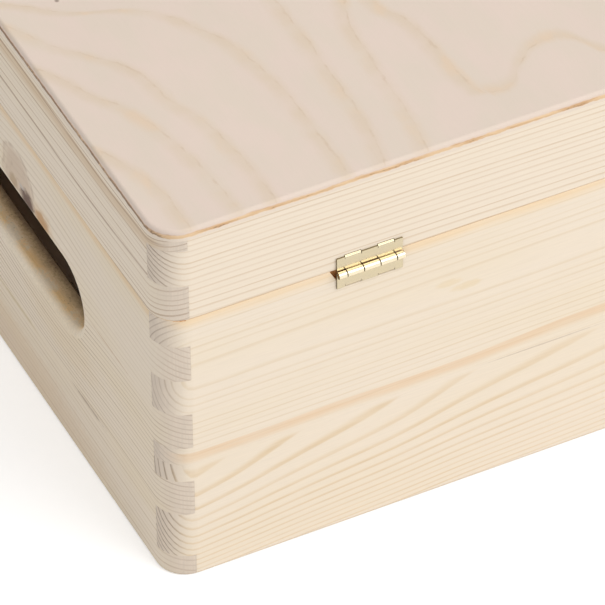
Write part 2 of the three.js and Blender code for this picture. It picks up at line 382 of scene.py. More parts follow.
def growth_rings(board, ripple, pith, lean=0.0, drift=0.0, first_ring=2.5, crowding=1.0,
                 taper=None, deep_rings=0.0, jitter=0.5, wobble=1.0, bulges=()):
    """Counts the rings of the trunk outwards, at each place in a board.

    pith is where the middle of the trunk lies: up the wall, and into it from its face. It
    leans into the wall and drifts up it by that much for each millimetre along the board.
    Rings get narrower outwards where crowding is above 1. A taper gives how many more there
    are at places along it, and deep_rings how many more for each millimetre into the wood.
    """
    along, up, deep = board.along, board.up, board.deep
    sway_up = board.clouds(0.006, 0.02) - 0.5
    sway_deep = board.clouds(0.006, 0.02, 7.0) - 0.5
    bent = up
    for *oval, push in bulges:
        off_run, off_rise = board.off(*oval)
        near = (-(off_run * off_run + off_rise * off_rise)).math("EXPONENT")
        bent = bent - off_rise * near * push
    from_pith_up = bent - pith[0] - along * drift + sway_up * (6.0 * wobble)
    from_pith_deep = -deep + pith[1] + along * lean + sway_deep * (6.0 * wobble)
    radius = (from_pith_up * from_pith_up + from_pith_deep * from_pith_deep) ** 0.5
    radius = radius + ripple * (0.9 * wobble)
    rings = (radius / first_ring) ** crowding
    if taper:
        rings = rings + along.curve(taper)
    if deep_rings:
        rings = rings + deep * deep_rings + (sway_up + sway_deep) * (deep * 0.3)
    seed = board.seed
    return rings + (board.graph.noise(rings * 0.6, seed, 0.0, seed) - 0.5) * jitter


def late_wood(share, start):
    """How much of a ring is late wood, at a share of its width. It ends at once."""
    return share.rise(start, LATE_FULL) * share.rise(LATE_END, 1.0, 1.0, 0.0)


def streaked(board, colour, streaks, ripple, patchy):
    """Lays bands on a face, each as its route, widths below and above, amount and colour."""
    for route, below, above, amount, streak_colour in streaks:
        off_route = board.up - board.along.curve(route) + ripple * 1.2
        band = off_route.rise(-below, -below * 0.35) * off_route.rise(0.0, above, 1.0, 0.0)
        amount_here = patchy.rise(0.3, 0.6, 0.7, 1.0) * amount
        colour = board.graph.mix(band * amount_here, colour, streak_colour)
    return colour


def branch_end(board, colour, oval, ripple):
    """A cut branch: a paler disc with a thin dark rim and rings of its own."""
    graph = board.graph
    off_run, off_rise = board.off(*oval)
    reach = (off_run * off_run + off_rise * off_rise) ** 0.5 + ripple * 0.5
    inside = reach.rise(0.7, 1.0, 1.0, 0.0)
    cloudy = graph.noise(board.along * 0.25, board.up * 0.25, 0.0, 21.0, detail=3.0)
    own_rings = (reach * 5.0 + cloudy * 2.0).part()
    own_late = own_rings.rise(0.5, 0.85) * own_rings.rise(0.88, 1.0, 1.0, 0.0)
    rim = reach.bell(0.96, 0.16, 0.1) * cloudy.rise(0.3, 0.6)
    colour = graph.mix(inside * 0.75, colour, KNOT_PALE)
    colour = graph.mix(own_late * inside * cloudy.rise(0.45, 0.7) * 0.3, colour, KNOT_RIM)
    return graph.mix(rim * 0.42, colour, KNOT_RIM)


def end_grain(board, share, strength, scratches, lines, tint):
    """The rings where a surface cuts across the fibres, scratched by sanding."""
    graph = board.graph
    late = late_wood(share, END_LATE_FROM) * (strength * 0.7 + 0.3)
    late = late * scratches.rise(0.25, 0.6, 0.55, 1.0)
    tone = board.clouds(0.3, 0.3, 9.0)
    flat_end = board.end_on.rise(0.8, 1.0)
    light = (scratches - 0.5) * 0.2 + (tone - 0.5) * 0.12 - flat_end * 0.06 + 1.0
    return graph.brighten(graph.mix(late * lines, END_EARLY, tint), light)


def pine(name, wall, seed=0.0, late_from=0.6, uneven=0.6, lines=0.5, tint=LATE_WOOD, warmth=0.35,
         fades=(), streaks=(), branch=None, spots=(), end_lines=0.7, end_tint=END_LATE, **trunk):
    """Planed and sanded pine, as one solid piece of a trunk, which growth_rings describes.

    Each ring has its late wood from the share late_from on, and some are fainter than others
    by up to the share uneven. Lines, tint and warmth set how strong and how coloured the grain
    of the faces is, and end_lines and end_tint that of the ends. Fades say where the lines of
    the faces get weaker.
    """
    board = Board(name, wall, seed)
    graph = board.graph
    along, up, deep = board.along, board.up, board.deep
    ripple = board.clouds(0.03, 0.12, 3.0) - 0.5
    rings = growth_rings(board, ripple, **trunk)
    share = rings.part()
    strength = graph.chance(rings.whole() + seed) * uneven + (1.0 - uneven)
    late = late_wood(share, late_from) * strength
    for way, low, high, left in fades:
        late = late * {"along": along, "up": up}[way].rise(low, high, 1.0, left)

    broad = board.clouds(0.012, 0.05, 11.0)
    fibre = board.clouds(0.07, 1.6, detail=4.0, roughness=0.6)
    ragged = board.clouds(0.35, 0.5, 13.0, detail=3.0) - 0.5
    patchy = board.clouds(0.05, 0.5, 5.0)
    colour = graph.mix(broad.rise(0.35, 0.7) * warmth, EARLY_WOOD, WARM_WOOD)
    colour = graph.mix(late * (patchy.rise(0.3, 0.65, 0.7, 1.0) * lines), colour, tint)
    colour = streaked(board, colour, streaks, ripple, patchy)
    ducts = graph.cells(along * 0.09, up * 1.5, deep * 1.5).rise(0.05, 0.16, 1.0, 0.0)
    colour = graph.mix(ducts * 0.18, colour, LATE_WOOD)
    if branch:
        colour = branch_end(board, colour, branch, ripple)
    colour = board.spotted(colour, spots, ragged * 1.3 + (fibre - 0.5) * 0.6)
    colour = graph.brighten(colour, (fibre - 0.5) * 0.12 + 1.0)

    cut_across = board.end_on.rise(0.25, 0.95)
    scratches = graph.noise(along * 1.7, up * 0.1, deep * 1.7, seed + 2.0)
    end = end_grain(board, share, strength, scratches, end_lines, end_tint)
    colour = graph.mix(cut_across, colour, end)

    height = fibre * 0.5 + late * 0.3 + cut_across * scratches * 0.5
    roughness = fibre * 0.12 + cut_across * 0.12 + 0.52
    return graph.finish(colour, roughness, height, depth=0.035, gloss=0.3)


# Each board's grain. Places along a wall are from its outer corner, in millimetres.
BOARDS = {
    "back_board_lower": dict(
        wall="back", pith=(75.0, -8.0), first_ring=35.6, crowding=3.43,
        taper=((0, -0.34), (18, 0.24), (43, 1.24), (77, 2.24), (103, 3.24), (145, 4.24),
               (200, 5.6), (300, 8.0)),
        deep_rings=0.5, late_from=0.56, jitter=0.0, uneven=0.35, wobble=0.3, warmth=0.25,
        lines=0.82, end_lines=0.9, end_tint=END_DARK, tint=display(230, 203, 163), seed=1.0,
        fades=(("along", 100.0, 150.0, 0.65), ("up", 43.4, 45.6, 0.0)),
        spots=((129.0, 45.95, 24.0, 0.35, 0.3, GLUE_STAIN),),
    ),
    "back_board_upper": dict(
        wall="back", pith=(81.5, -12.0), drift=0.008, first_ring=1.9, deep_rings=0.12,
        jitter=0.6, uneven=0.8, wobble=0.4, seed=2.0,
        lines=0.58, end_lines=0.5, end_tint=END_DARK, tint=display(227, 203, 166),
        streaks=(
            (((0, 54.0), (5, 50.6), (20, 50.5), (55, 51.2), (85, 51.0), (115, 52.2), (148, 53.7),
              (210, 54.5), (300, 53.0)), 4.6, 0.8, 0.62, RESIN_BAND),
            (((0, 106.5), (150, 106.5), (300, 106.0)), 6.5, 1.0, 0.75, SEAM_GLOW),
        ),
        spots=(
            (95.0, 84.2, 5.5, 1.8, 0.3, display(234, 206, 152)),
            (101.0, 81.0, 6.0, 1.8, 0.35, display(234, 206, 152)),
        ),
    ),
    "lid_back_rail": dict(
        wall="back", pith=(60.0, 50.0), drift=-0.008, first_ring=1.75,
        jitter=0.9, uneven=0.7, wobble=0.35, warmth=0.1, seed=3.0,
        lines=0.8, end_lines=1.0, end_tint=END_DARK, tint=display(218, 190, 156),
        streaks=((((0, 105.05), (150, 105.05), (300, 105.05)), 0.3, 0.55, 0.6,
                  display(206, 168, 124)),),
    ),
    "lid_right_rail": dict(
        wall="right", pith=(-60.0, 40.0), drift=-0.02, first_ring=1.9,
        jitter=0.9, uneven=0.9, wobble=0.5, warmth=0.3, seed=4.0,
        lines=0.95, end_lines=0.9, tint=display(184, 154, 122),
        streaks=(
            (((0, 136), (20, 133.5), (50, 132.5), (80, 133.2), (200, 131)), 6.5, 0.8, 0.6,
             display(214, 184, 146)),
            (((0, 135.2), (20, 133.2), (45, 132.3), (100, 133.2), (200, 131)), 0.9, 0.3, 0.7,
             display(174, 142, 112)),
            (((0, 120.6), (20, 118.6), (60, 117.2), (112, 117.6), (200, 116)), 1.0, 0.35, 0.7,
             display(168, 138, 112)),
        ),
    ),
    "right_side_upper": dict(
        wall="right", pith=(148.0, 40.0), first_ring=1.9,
        jitter=0.5, uneven=0.5, wobble=0.5, warmth=0.6, seed=5.0,
        lines=0.95, end_lines=0.6, tint=display(176, 150, 114),
        fades=(("up", 60.0, 66.0, 0.42), ("along", 60.0, 38.0, 0.7)),
        bulges=((84.0, 80.0, 36.0, 32.0, 14.0),),
        branch=(103.5, 82.0, 12.0, 13.0),
        streaks=((((0, 106.5), (90, 106.5), (200, 106.5)), 6.0, 1.0, 0.7, display(240, 208, 164)),),
        spots=(
            (75.0, 44.0, 34.0, 12.0, 0.2, display(232, 206, 162)),
            (107.0, 80.0, 4.0, 3.4, 0.6, display(178, 148, 106)),
            (86.0, 80.0, 10.0, 6.0, 0.4, display(226, 194, 152)),
            (86.0, 79.0, 6.4, 4.2, 0.85, KNOT_BROWN),
            (97.0, 79.0, 6.4, 5.2, 0.95, BARK),
            (100.8, 82.2, 2.2, 1.0, 0.75, display(206, 196, 190)),
            (38.0, 65.6, 19.0, 0.45, 0.5, display(196, 160, 120)),
        ),
    ),
    "right_side_lower": dict(
        wall="right", pith=(134.0, 40.0), lean=0.02, first_ring=2.1,
        jitter=0.6, uneven=0.6, wobble=0.7, warmth=0.8, seed=6.0,
        lines=0.7, end_lines=0.45, tint=display(202, 178, 144),
        spots=(
            # The first spot is painted shade: the board gets darker and warmer towards its bottom
            # and its front end
            (120.0, 6.0, 90.0, 15.0, 0.45, display(232, 206, 176)),
            (57.0, 27.2, 14.0, 0.8, 0.55, GLUE_STAIN),
            (108.0, 27.2, 18.0, 0.9, 0.5, display(200, 178, 130)),
        ),
    ),
    "left_side_upper": dict(
        wall="left", pith=(80.0, 32.0), lean=0.04, first_ring=2.1,
        lines=0.5, wobble=0.9, seed=7.0,
    ),
    "left_side_lower": dict(
        wall="left", pith=(60.0, 44.0), lean=-0.02, first_ring=2.3,
        lines=0.5, wobble=0.9, seed=8.0,
    ),
    "lid_left_rail": dict(
        wall="left", pith=(190.0, 40.0), first_ring=2.2,
        lines=0.6, wobble=0.5, warmth=0.2, seed=9.0,
    ),
    "front_board_upper": dict(
        wall="front", pith=(88.0, 24.0), lean=0.07, first_ring=12.0, crowding=2.2,
        jitter=0.3, lines=0.65, wobble=0.5, seed=10.0,
    ),
    "front_board_lower": dict(
        wall="front", pith=(-10.0, 34.0), lean=-0.02, first_ring=2.2,
        lines=0.45, wobble=0.8, seed=12.0,
    ),
    "lid_front_rail": dict(
        wall="front", pith=(60.0, 60.0), drift=0.01, first_ring=2.3,
        lines=0.5, wobble=0.4, warmth=0.2, seed=13.0,
    ),
}


# ---------------------------------------------------------------- plywood

VENEER = display(232, 213, 199)
VENEER_GREY = display(229, 213, 197)
VENEER_LATE = display(223, 203, 178)
VENEER_ORANGE = display(231, 204, 174)
VENEER_LINE = display(206, 180, 150)
CORE_PALE = display(240, 206, 164)
CORE_BROWN = display(204, 156, 110)
CORE_DARK = display(112, 86, 68)
UNDER_PLY = display(240, 224, 206)
CORE_HEIGHT = 137.6

# Growth lines of the top veneer, each as places of (across the lid, along the lid) from its
# rear right corner
VENEER_LINES = (
    ((-10, 10.5), (10, 10.5), (20, 10), (28, 8), (36, 5), (47, 0), (60, -8)),
    ((-10, 27), (15, 26), (32, 24), (45, 21), (57, 17), (68, 10), (79, 5), (95, -5)),
    ((-10, 38), (15, 38), (28, 37), (45, 34), (55, 30), (68, 28), (84, 18), (93, 10), (110, 0),
     (120, -8)),
    ((-10, 62), (25, 62.5), (45, 62), (60, 60), (72, 57), (81, 52), (90, 47), (98, 38), (106, 20),
     (116, 8), (125, -5)),
    ((-10, 73), (0, 74), (10, 76), (25, 77.5), (40, 78), (70, 78.5), (100, 77), (130, 70),
     (160, 50), (200, 10)),
    ((-10, 87), (0, 88), (15, 90), (30, 91), (45, 92), (60, 93), (73, 97), (100, 106), (130, 108),
     (165, 96), (210, 60)),
    ((14, 118), (20, 113), (28, 112), (45, 111), (58, 109), (67, 105), (90, 118), (120, 138),
     (160, 150), (210, 146)),
    ((-10, 196), (40, 190), (80, 172), (120, 176), (160, 190), (210, 186)),
    ((-10, 226), (50, 222), (90, 204), (130, 206), (210, 222)),
    ((-10, 246), (60, 250), (110, 238), (150, 240), (210, 252)),
    ((-10, 276), (70, 282), (130, 268), (210, 280)),
)

# The last line turns back on itself, so it is given the other way round, with the places along
# the lid where it starts and ends
VENEER_WAVE = ((108, 40), (113, 20), (120, 14), (130, 22), (138, 28), (147, 28), (155, 17),
               (170, 2), (180, -8))
WAVE_STARTS = (113.0, 117.0)
WAVE_ENDS = (176.0, 182.0)

PIN_KNOT = (112.5, 19.5)

# A growth line, in millimetres: how ragged it is, where its soft band starts before it, is
# darkest and ends past it, and how far the thin dark line reaches to each side
LINE_RAGGED = 3.5
BAND_BEFORE = 6.0
BAND_DARKEST = 0.8
BAND_PAST = 3.0
LINE_BEFORE = 0.7
LINE_PAST = 0.5


def growth_line(past):
    """The soft band and the thin line of a growth line, by the distance past it."""
    rising = past.rise(-BAND_BEFORE, -BAND_DARKEST)
    band = rising * past.rise(-BAND_DARKEST, BAND_PAST, 1.0, 0.0)
    return band, past.bell(0.0, LINE_BEFORE, LINE_PAST)


def veneer_face(graph, along, across, fibre, face_lines):
    """The face of a plain sliced veneer, with a few long growth lines and fine pores."""
    broad = graph.noise(along * 0.03, across * 0.012, 0.0, 1.0)
    wander = graph.noise(along * 0.4, across * 0.16, 0.0, 2.0, detail=5.0, roughness=0.65)
    ragged = (wander - 0.5) * LINE_RAGGED
    broken = graph.noise(along * 0.05, across * 0.09, 0.0, 4.0)
    dashes = graph.noise(along * 0.2, across * 0.22, 0.0, 9.0, detail=3.0)
    clouds = graph.noise(along * 0.09, across * 0.05, 0.0, 11.0, detail=3.0)

    wave_band, wave_line = growth_line(-across + along.curve(VENEER_WAVE) + ragged)
    in_wave = along.rise(*WAVE_STARTS) * along.rise(*WAVE_ENDS, 1.0, 0.0)
    shade = wave_band * in_wave
    line = wave_line * in_wave
    for route in face_lines:
        band, thin = growth_line(along - across.curve(route) + ragged)
        reached = across.rise(route[0][0] - 0.5, route[0][0] + 3.0)
        shade = shade.highest(band * reached)
        line = line.highest(thin * reached)

    veneer = graph.mix(clouds.rise(0.35, 0.65), VENEER, VENEER_GREY)
    band = graph.mix(clouds.rise(0.5, 0.62) * broken.rise(0.4, 0.6), VENEER_LATE, VENEER_ORANGE)
    colour = graph.mix(shade * broken.rise(0.3, 0.62, 0.25, 0.65), veneer, band)
    colour = graph.mix(line * dashes.rise(0.42, 0.7, 0.04, 0.4), colour, VENEER_LINE)
    pores = graph.cells(along * 1.6, across * 0.35, 0.0).rise(0.06, 0.15, 1.0, 0.0)
    colour = graph.mix(pores * 0.1, colour, VENEER_LINE)
    knot = ((along - PIN_KNOT[1]) ** 2.0 + (across - PIN_KNOT[0]) ** 2.0) ** 0.5
    colour = graph.mix(knot.rise(0.3, 1.0, 0.6, 0.0), colour, BARK)
    return graph.brighten(colour, (broad - 0.5) * 0.05 + (fibre - 0.5) * 0.035 + 1.0)


def ply_edge(graph, along, across, up, side_edge, core_height):
    """The edge of the sheet: its core ply between the eased face ply and the pale under ply.

    The core is pale above and brown below, and dark where its fibres are cut across, on the
    side edges.
    """
    drift = graph.noise(along * 0.05, across * 0.05, 0.0, 6.0) - 0.5
    rough_edge = graph.noise(along * 0.45, across * 0.45, up * 0.5, 7.0, detail=3.0) - 0.5
    off_core = up - core_height + drift * 1.2 + rough_edge * 1.1
    core = off_core.rise(-0.65, -0.25) * off_core.rise(0.5, 1.3, 1.0, 0.0)
    brown = graph.noise(along * 0.07, across * 0.07, up * 0.8, 8.0, detail=3.0)
    specks = graph.noise(along * 0.8, across * 0.8, up * 1.6, 10.0, detail=2.0)
    thread = off_core.size().rise(side_edge * 0.25 + 0.1, side_edge * 0.55 + 0.45, 1.0, 0.0)
    core_colour = graph.mix(brown.rise(0.42, 0.62) * 0.7 + side_edge * 0.3, CORE_PALE, CORE_BROWN)
    dark = (brown * 0.6 + specks * 0.4 + side_edge * 0.16).rise(0.53, 0.66, 0.08, 0.8)
    core_colour = graph.mix(thread * dark, core_colour, CORE_DARK)
    plies = graph.mix(off_core.rise(-0.4, 0.4, 1.0, 0.0), VENEER, UNDER_PLY)
    return graph.mix(core, plies, core_colour)


def plywood(name, core_height=CORE_HEIGHT, face_lines=VENEER_LINES):
    """Three-ply sheet: a plain veneer on its faces, and its plies at the edge."""
    graph = Graph(name)
    place, facing = graph.coordinates()
    along = -place[X] + LID_HIGH.x
    across = -place[Y] + LID_HIGH.y
    fibre = graph.noise(along * 1.6, across * 0.08, 0.0, 3.0, detail=4.0)
    face = veneer_face(graph, along, across, fibre, face_lines)
    side_edge = facing[X].size().rise(0.35, 0.95)
    edge = ply_edge(graph, along, across, place[Z], side_edge, core_height)
    on_edge = facing[Z].size().rise(0.15, 0.5, 1.0, 0.0)
    colour = graph.mix(on_edge, face, edge)
    return graph.finish(colour, fibre * 0.1 + 0.5, fibre * 0.6, depth=0.02, gloss=0.3)


# ---------------------------------------------------------------- brass, and pine with painted shade in the recesses and slots

# Painted light on the hinges: the lighter brass of the knuckles is a painted highlight, and the
# darker brass of the sheared edges and the pin is painted shade
BRASS = display(200, 187, 157)
BRASS_DULL = display(197, 184, 160)
BRASS_HIGHLIGHT = display(230, 217, 188)
BRASS_SHADE = display(120, 106, 70)
PIN_SHADE = display(150, 118, 66)
# Painted shade in the recesses behind the hinges, over browning by the cutter
SCORCH_AND_SHADE = display(236, 178, 116)
SCORCH_AND_SHADE_DARK = display(206, 144, 88)
# The slot colours get darker farther in: painted shade, over tan and brown burn marks from the
# cutter
SLOT_PALE = display(246, 231, 208)
SLOT_TAN = display(254, 210, 140)
SLOT_BROWN = display(238, 204, 158)
SLOT_BURNT_AND_SHADED = display(92, 68, 52)

# How deep in a hand slot each of its colours starts and is in full, in millimetres
TAN_DEPTHS = (0.3, 3.2)
BROWN_DEPTHS = (2.5, 6.5)
BURNT_AND_SHADED_DEPTHS = (4.0, 8.8)


def brass_plate():
    """Brass plating on pressed steel, with painted highlight on the knuckles and painted shade on
    cut edges.
    """
    graph = Graph("brass_plate")
    place, facing = graph.coordinates()
    brushed = graph.noise(place[X] * 0.6, place[Y] * 18.0, place[Z] * 18.0, 1.0, detail=3.0)
    cloudy = graph.noise(place[X] * 0.25, place[Y] * 0.5, place[Z] * 0.3, 2.0)
    from_pin = (place[Z] - middle_of("hinge_pin_left").z * TO_MM).size()
    # The free edge and the cut ends of the sheet are darkened: painted shade
    at_free_edge = from_pin.bell(LEAF_REACH - 0.03, 0.12, 0.09)
    free_edge = at_free_edge * facing[Z].size().rise(0.4, 0.8)
    sheared = facing[X].size().rise(0.45, 0.85).highest(free_edge)
    colour = graph.mix(cloudy.rise(0.35, 0.75) * 0.6, BRASS, BRASS_DULL)
    # The knuckles are lighter: painted highlight
    colour = graph.mix(from_pin.rise(BARREL, BARREL + 0.3, 1.0, 0.0), colour, BRASS_HIGHLIGHT)
    colour = graph.mix(sheared, colour, BRASS_SHADE)
    roughness = brushed * 0.08 + sheared * 0.25 + 0.2
    return graph.finish(colour, roughness, brushed, depth=0.001, metal=1.0, gloss=0.5)


def shaded_pin():
    """The pin, dark brown all over: painted shade in the splits between the knuckles."""
    graph = Graph("shaded_pin")
    place, _ = graph.coordinates()
    cloudy = graph.noise(place[X] * 2.0, place[Y] * 2.0, place[Z] * 2.0, 3.0, detail=3.0)
    colour = graph.mix(cloudy.rise(0.35, 0.7), PIN_SHADE, BRASS_SHADE)
    return graph.finish(colour, cloudy * 0.2 + 0.35, cloudy, depth=0.004, metal=1.0, gloss=0.5)


def scorched_and_shaded_pine():
    """Darker brown wood in the recesses behind the hinges: painted shade, with browning by the
    cutter.
    """
    graph = Graph("scorched_and_shaded_pine")
    place, _ = graph.coordinates()
    fibre = graph.noise(place[X] * 0.4, place[Y] * 3.0, place[Z] * 3.0, 1.0, detail=3.0)
    colour = graph.mix(fibre.rise(0.35, 0.65), SCORCH_AND_SHADE, SCORCH_AND_SHADE_DARK)
    return graph.finish(colour, fibre * 0.1 + 0.6, fibre, depth=0.05, gloss=0.2)


def burnt_and_shaded_slot(name, wall, spots=()):
    """The inside of a hand slot: pale at its lip, darker farther in as painted shade and cutter
    burn.
    """
    board = Board(name, wall, 1.0)
    graph = board.graph
    along, up, deep = board.along, board.up, board.deep
    fibre = graph.noise(along * 0.12, deep * 2.0, up * 2.0, 1.0, detail=3.0)
    patchy = graph.noise(along * 0.1, deep * 0.12, up * 0.12, 2.0)
    torn = graph.noise(along * 1.1, deep * 1.3, up * 1.3, 3.0, detail=5.0, roughness=0.7)
    holes = graph.cells(along * 0.7, deep * 0.9, up * 0.9).rise(0.12, 0.3, 1.0, 0.0)
    ragged_depth = deep + (patchy - 0.5) * 3.0 + (torn - 0.5) * 5.0
    tan = deep.rise(*TAN_DEPTHS) * (patchy + (torn - 0.5) * 0.5).rise(0.4, 0.6, 0.15, 1.0)
    colour = graph.mix(tan * 0.85, SLOT_PALE, SLOT_TAN)
    colour = graph.mix(ragged_depth.rise(*BROWN_DEPTHS), colour, SLOT_BROWN)
    # Painted shade deep in the slot, with burn from the cutter
    colour = graph.mix(ragged_depth.rise(*BURNT_AND_SHADED_DEPTHS) * 0.85, colour, SLOT_BURNT_AND_SHADED)
    colour = board.spotted(colour, spots, torn - 0.5)
    pitted = holes * torn.rise(0.45, 0.6) * deep.rise(2.0, 5.0)
    colour = graph.brighten(colour, (fibre - 0.5) * 0.3 + (torn - 0.5) * 0.5 - pitted * 0.45 + 1.0)
    return graph.finish(colour, fibre * 0.1 + 0.55, torn + fibre * 0.5, depth=0.12, gloss=0.3)


# ---------------------------------------------------------------- meshes


def shade_smooth(bm):
    """Round surfaces shade smoothly, and true edges stay sharp."""
    for face in bm.faces:
        face.smooth = True
    for edge in bm.edges:
        edge.smooth = len(edge.link_faces) == 2 and edge.calc_face_angle(math.pi) < SHARP_ANGLE


def add_piece(name, bm, body, node, materials):
    """A finished piece that stands for a CAD node."""
    shade_smooth(bm)
    mesh = bpy.data.meshes.new(name)
    bm.to_mesh(mesh)
    bm.free()
    piece = bpy.data.objects.new(name, mesh)
    bpy.context.scene.collection.objects.link(piece)
    for material in materials:
        mesh.materials.append(material)
    even = piece.modifiers.new("even_shading", "WEIGHTED_NORMAL")
    even.keep_sharp = True
    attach(piece, body)
    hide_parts(node)
    return piece


def cad_copy(node):
    """A CAD node's mesh with its triangles merged into whole faces."""
    bm = bmesh.new()
    bm.from_mesh(frame["nodes"][node].data)
    bmesh.ops.remove_doubles(bm, verts=bm.verts, dist=MERGE)
    bmesh.ops.dissolve_limit(
        bm, angle_limit=FLAT_ANGLE, use_dissolve_boundaries=False, verts=bm.verts, edges=bm.edges
    )
    return bm


def wood_surface():
    """Every wooden CAD node in one search tree."""
    bm = bmesh.new()
    for node in (*BOARDS, "lid_panel", "bottom_panel"):
        bm.from_mesh(frame["nodes"][node].data)
    tree = BVHTree.FromBMesh(bm)
    bm.free()
    return tree


def close_gaps(bm, node, wood):
    """Moves faces that look at other wood across a glue line or the seam nearly up to it."""
    planes = []
    for polygon in frame["nodes"][node].data.polygons:
        direction = polygon.normal.copy()
        start = polygon.center + direction * MERGE
        gap = wood.ray_cast(start, direction, WIDEST_GAP)[3]
        level = direction.dot(polygon.center)
        known = any(direction.dot(d) > SAME_WAY and abs(level - at) < MERGE for d, at, _ in planes)
        if gap is not None and not known:
            planes.append((direction, level, gap))
    for vert in bm.verts:
        at_rest = vert.co.copy()
        for direction, level, gap in planes:
            if abs(direction.dot(at_rest) - level) < MERGE:
                vert.co += direction * (gap * GAP_SHARE)


def mark_cut(bm, material_index, inside):
    """Gives another material to the faces that lie wholly where a cutter ran."""
    for face in bm.faces:
        if all(inside(vert.co * TO_MM) for vert in face.verts):
            face.material_index = material_index


def in_recess(place):
    """Whether a place is in one of the recesses behind the hinges."""
    inset = LID_HIGH.y - place.y
    return inset < RECESS_DEPTH + CUT_SLACK and place.z > RIM - RECESS_DROP - CUT_SLACK


def near_slot(place):
    """Whether a place lies in a hand slot or on its lips."""
    off = place - SLOT_MIDDLE
    return abs(off.y) < SLOT_HALF_RUN and abs(off.z) < SLOT_HALF_RISE


def sanded_boards(wood):
    """Every pine board and rail, each with its own grain."""
    recess_wood = scorched_and_shaded_pine()
    for node, grain in BOARDS.items():
        body = "lid" if node.startswith("lid_") else "box"
        bm = cad_copy(node)
        materials = [pine(f"pine_{node}", **grain)]
        # The recesses behind the hinges get the darker brown: painted shade and cutter browning
        if node == "back_board_upper":
            materials.append(recess_wood)
            mark_cut(bm, 1, in_recess)
            for face in bm.faces:
                if LID_HIGH.y - face.calc_center_median().y * TO_MM < 2 * CUT_SLACK:
                    face.material_index = 0
        if node.endswith("_side_upper"):
            spots = grain.get("spots", ())
            materials.append(burnt_and_shaded_slot(f"burnt_and_shaded_slot_{grain['wall']}", grain["wall"], spots))
            mark_cut(bm, 1, near_slot)
        close_gaps(bm, node, wood)
        add_piece(f"sanded_{node}", bm, body, node, materials)


def plywood_sheets(wood):
    """The lid top and the bottom sheet."""
    lid = plywood("lid_plywood")
    bottom = plywood(
        "bottom_plywood", core_height=middle_of("bottom_panel").z * TO_MM,
        face_lines=VENEER_LINES[6:],
    )
    sheets = (
        ("veneered_lid_panel", "lid", "lid_panel", lid),
        ("bottom_sheet", "box", "bottom_panel", bottom),
    )
    for name, body, node, material in sheets:
        bm = cad_copy(node)
        close_gaps(bm, node, wood)
        add_piece(name, bm, body, node, [material])


# ---------------------------------------------------------------- hinges


def knuckle_ends(index):
    """Ends of a knuckle. They count from the left, and the outermost two are half ones."""
    half = HINGE_WIDTH / 2
    whole = HINGE_WIDTH / KNUCKLE_SPANS
    middle = index * whole - half
    reach = (whole - KNUCKLE_GAP) / 2
    return max(middle - reach, -half), min(middle + reach, half)


def within(edge, spans, height):
    """Whether an edge lies at that height and inside one of the spans along the pin."""
    level = all(abs(v.co.z - height) < SAME_HEIGHT for v in edge.verts)
    middle = (edge.verts[0].co.x + edge.verts[1].co.x) / 2
    return level and any(low < middle < high for low, high in spans)


def extruded(bm, edges, shift):
    """Extrudes edges by a shift and returns the new edges."""
    made = bmesh.ops.extrude_edge_only(bm, edges=edges)["geom"]
    bmesh.ops.translate(bm, vec=shift, verts=[g for g in made if isinstance(g, bmesh.types.BMVert)])
    return [g for g in made if isinstance(g, bmesh.types.BMEdge)]


def turned(bm, edges, middle, angle, steps):
    """Spins edges about an axis along the pin and returns the last ones."""
    made = bmesh.ops.spin(
        bm, geom=edges, cent=middle, axis=(1, 0, 0), dvec=(0, 0, 0), angle=angle, steps=steps,
        use_merge=False, use_normal_flip=False, use_duplicate=False,
    )["geom_last"]
    return [g for g in made if isinstance(g, bmesh.types.BMEdge)]


